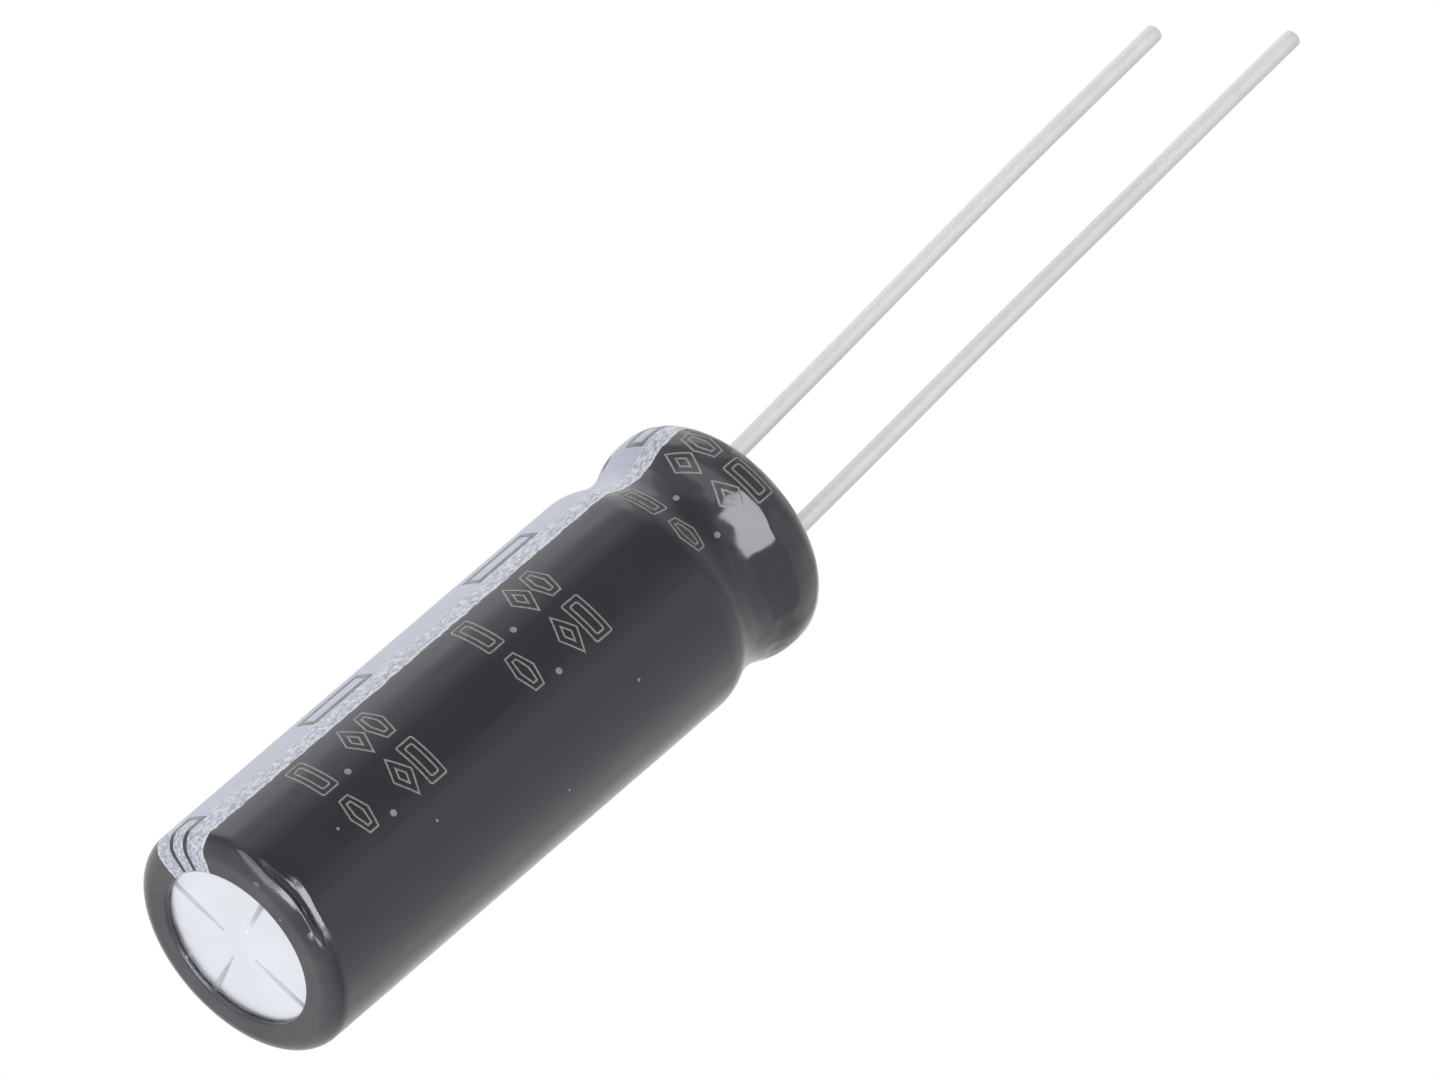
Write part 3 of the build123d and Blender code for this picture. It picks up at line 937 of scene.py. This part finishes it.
def wire_mesh(props, lead, side):
    """A lead's tinned wire, from its weld to its cut end. Side is 1 for positive, -1 for negative."""
    pin = next(m for m in frame["record"]["mounts"] if m["name"] == lead)
    middle = Vector(pin["pos_m"]) / MM
    axis = Vector(pin["axis"]).normalized()
    tip = middle + axis * pin["dims"]["length_mm"] / 2
    lean = atan2(-axis.x, axis.z)
    foot = Vector((side * props.pitch / 2, 0, WIRE_FOOT))

    bm = bmesh.new()
    made = bmesh.ops.create_circle(bm, cap_ends=True, segments=40, radius=pin["dims"]["r_mm"])
    bmesh.ops.translate(bm, verts=made["verts"], vec=foot)

    def grow(edges, move, steps):
        for _ in range(steps):
            grown = bmesh.ops.extrude_edge_only(bm, edges=edges)["geom"]
            verts = only(BMVert, grown)
            bmesh.ops.translate(bm, verts=verts, vec=move / steps)
            edges = [e for e in only(BMEdge, grown) if all(v in verts for v in e.verts)]
        return edges

    ring = grow(list(bm.edges), Vector((0, 0, props.stub)), 2)
    centre = foot + Vector((-props.bend_radius, 0, props.stub))
    swept = bmesh.ops.spin(bm, geom=ring, cent=centre, axis=(0, -1, 0), angle=lean, steps=6)
    bent = centre + props.bend_radius * Vector((cos(lean), 0, sin(lean)))
    ring = grow(only(BMEdge, swept["geom_last"]), tip - bent, 60)
    cap = bmesh.ops.contextual_create(bm, geom=ring)["faces"]
    bmesh.ops.bevel(
        bm, geom=list(cap[0].edges), offset=props.tip_round, segments=4, profile=0.5,
        affect="EDGES", material=-1)
    bmesh.ops.recalc_face_normals(bm, faces=bm.faces)

    span = tip.z - bent.z
    bow = toward(props.bow_azimuth) * props.bow
    for v in bm.verts:
        share = min(1.0, max(0.0, (v.co.z - bent.z) / span))
        v.co += bow * share * (BOW_SWELL * sin(pi * share) + BOW_TIP)
        v.co.x += props.crook * sin(2 * pi * share * CROOK_X + side) * share
        v.co.y += props.crook * sin(2 * pi * share * CROOK_Y - side) * share
    return bm


class CELL_OT_wires(Operator):
    """The two tinned wires"""
    bl_idname = "cell.wires"
    bl_label = "Tinned Wires"

    def execute(self, context):
        props = context.scene.cell_wire
        material = wire_material(props)
        for name, side in (("positive", 1), ("negative", -1)):
            bm = wire_mesh(props, name + "_lead", side)
            piece = show_piece(name + "_wire", bm, material, WIRE_CRISP)
            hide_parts(name + "_lead")
        return {"FINISHED"}


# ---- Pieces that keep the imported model's shape ----

def dress(node, material):
    """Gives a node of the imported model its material."""
    slots = frame["nodes"][node].data.materials
    slots.clear()
    slots.append(material)


def smoothed_copy(name, node, material):
    """Dresses a node, and shows in its place a copy of its mesh with the corners joined."""
    dress(node, material)
    bm = bmesh.new()
    bm.from_mesh(frame["nodes"][node].data)
    bmesh.ops.remove_doubles(bm, verts=bm.verts, dist=1e-6)
    piece = show_piece(name, bm, material, bpy.context.scene.cell_metal.smooth_angle, unit=1)
    piece.modifiers.new("even shading", "WEIGHTED_NORMAL").keep_sharp = True
    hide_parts(node)


class CELL_OT_can(Operator):
    """Drawn can with its scored vent and curled rim"""
    bl_idname = "cell.can"
    bl_label = "Drawn Can"

    def execute(self, context):
        smoothed_copy("drawn_can", "can", can_material(context.scene.cell_metal))
        return {"FINISHED"}


class CELL_OT_seal(Operator):
    """Rubber seal in the can's mouth"""
    bl_idname = "cell.seal"
    bl_label = "Rubber Seal"

    def execute(self, context):
        material = rubber_material(context.scene.cell_inside)
        smoothed_copy("moulded_seal", "rubber_seal", material)
        return {"FINISHED"}


class CELL_OT_terminals(Operator):
    """Forged terminals through the seal"""
    bl_idname = "cell.terminals"
    bl_label = "Forged Terminals"

    def execute(self, context):
        material = terminal_material(context.scene.cell_metal)
        for side in ("positive", "negative"):
            smoothed_copy(side + "_tab", side + "_terminal", material)
        return {"FINISHED"}


class CELL_OT_roll(Operator):
    """Surfaces of the wound element and its fixing tape"""
    bl_idname = "cell.roll"
    bl_label = "Wound Element and Tape"

    def execute(self, context):
        props = context.scene.cell_inside
        dress("wound_element", roll_material(props))
        dress("fixing_tape", tape_material(props))
        return {"FINISHED"}


# ---- Stage ----

# Soft lamps: azimuth and elevation in degrees, width and height in metres, brightness where white is 1,
# and what it gives. Those at the camera's own angle to the axis show on the straight side.
LAMPS = (
    ("left_box", 131, 32, 0.51, 0.36, 1.05, "all"),
    ("left_dim", 171, 32, 0.23, 0.36, 0.35, "all"),
    ("right_box", 312, 32, 1.00, 0.40, 0.34, "all"),
    ("front_panel", 257, -15, 0.52, 0.35, 9.0, "sheen"),
    ("low_box", 200, -25, 0.40, 0.40, 1.2, "all"),
    ("base_box", 0, -90, 0.50, 0.50, 1.5, "shade"),
)

# A grey scrim that dims the white surround in one band of the sleeve's sheen, placed as the lamps are
SCRIM = (218, 32, 0.37, 0.44)


def aim(thing, azimuth, elevation, distance):
    """Puts a lamp or card round the middle of the cell's body, facing it. Angles are in degrees."""
    away = toward(radians(azimuth), radians(elevation))
    thing.location = Vector((0, 0, SLEEVE_HIGH.z / 2)) * MM + away * distance
    thing.rotation_mode = "QUATERNION"
    thing.rotation_quaternion = away.to_track_quat("Z", "Y")
    thing.visible_camera = False


def card(name, width, height, material, drop=0.0):
    """A flat card for the stage, in metres, facing up."""
    bm = bmesh.new()
    bmesh.ops.translate(bm, verts=rectangle(bm, width, height), vec=(0, 0, -drop))
    return mesh_object(name, bm, material)


def add_floor(props):
    """A wide flat floor that the cell stands on."""
    size = props.floor_size
    floor = card("floor", size, size, floor_material(props), drop=props.floor_drop * MM)


def add_camera(scene, props):
    """The camera, placed round the cell and rolled about its line of sight."""
    back = toward(props.view_azimuth, props.view_elevation)
    data = bpy.data.cameras.new("camera")
    data.lens = props.lens
    data.clip_start = props.view_distance / 4
    data.clip_end = props.view_distance * 4
    camera = new_object("camera", data)
    camera.rotation_mode = "QUATERNION"
    roll = Quaternion((0, 0, 1), props.view_roll)
    camera.rotation_quaternion = back.to_track_quat("Z", "Y") @ roll
    camera.location = Vector(props.view_aim) * MM + back * props.view_distance
    scene.camera = camera


def add_lamps(props):
    """Soft rectangular lamps round the cell."""
    for name, azimuth, elevation, width, height, level, gives in LAMPS:
        data = bpy.data.lights.new(name, "AREA")
        data.shape = "RECTANGLE"
        data.size, data.size_y = width, height
        data.energy = props.lamp_level * level * pi * width * height
        lamp = new_object(name, data)
        aim(lamp, azimuth, elevation, props.lamp_distance)
        lamp.visible_diffuse = gives != "sheen"
        lamp.visible_glossy = gives != "shade"


def add_scrim(props):
    """The grey scrim, seen only in reflections."""
    azimuth, elevation, width, height = SCRIM
    scrim = card("grey_scrim", width, height, scrim_material())
    aim(scrim, azimuth, elevation, props.lamp_distance)
    scrim.visible_diffuse = scrim.visible_shadow = scrim.visible_transmission = False


def add_surround(scene, props):
    """White where it is seen, directly or in a reflection, and a plain fill light elsewhere."""
    world = bpy.data.worlds.new("surround")
    world.use_nodes = True
    nodes = Nodes(world.node_tree)
    rays = nodes.add("LightPath").outputs
    seen = nodes.math("ADD", rays["Is Camera Ray"], rays["Is Glossy Ray"], clamp=True)
    seen = nodes.math("ADD", seen, rays["Is Transmission Ray"], clamp=True)
    strength = nodes.mix_value(seen, props.fill, 1.0)
    nodes.feed(world.node_tree.nodes["Background"], {"Color": (1, 1, 1, 1), "Strength": strength})
    scene.world = world


class CELL_OT_stage(Operator):
    """Pale floor, soft lamps, plain white surround and the camera"""
    bl_idname = "cell.stage"
    bl_label = "Stage"

    def execute(self, context):
        scene, props = context.scene, context.scene.cell_stage
        add_floor(props)
        add_camera(scene, props)
        add_lamps(props)
        add_scrim(props)
        add_surround(scene, props)
        scene.view_settings.view_transform = "Standard"
        return {"FINISHED"}


# ---- Panel and registration ----

BUILD_ORDER = (
    CELL_OT_stage, CELL_OT_sleeve, CELL_OT_minus_marks, CELL_OT_rating_marks, CELL_OT_wires,
    CELL_OT_can, CELL_OT_seal, CELL_OT_terminals, CELL_OT_roll)


class CELL_PT_panel(Panel):
    """Lists the cell's operators in the sidebar"""
    bl_label = "Supercapacitor Cell"
    bl_idname = "CELL_PT_panel"
    bl_space_type = "VIEW_3D"
    bl_region_type = "UI"
    bl_category = "Cell"

    def draw(self, context):
        for operator in BUILD_ORDER:
            self.layout.operator(operator.bl_idname)


SETTINGS = {
    "cell_sleeve": CellSleeveSettings,
    "cell_print": CellPrintSettings,
    "cell_wire": CellWireSettings,
    "cell_metal": CellMetalSettings,
    "cell_inside": CellInsideSettings,
    "cell_stage": CellStageSettings,
}
CLASSES = (*SETTINGS.values(), *BUILD_ORDER, CELL_PT_panel)


def register():
    for cls in CLASSES:
        bpy.utils.register_class(cls)
    for name, cls in SETTINGS.items():
        setattr(bpy.types.Scene, name, PointerProperty(type=cls))


def unregister():
    for name in SETTINGS:
        delattr(bpy.types.Scene, name)
    for cls in reversed(CLASSES):
        bpy.utils.unregister_class(cls)


def main():
    """Builds everything in order."""
    register()
    bpy.ops.cell.stage()
    bpy.ops.cell.sleeve()
    bpy.ops.cell.minus_marks()
    bpy.ops.cell.rating_marks()
    bpy.ops.cell.wires()
    bpy.ops.cell.can()
    bpy.ops.cell.seal()
    bpy.ops.cell.terminals()
    bpy.ops.cell.roll()


if __name__ == "__main__":
    main()
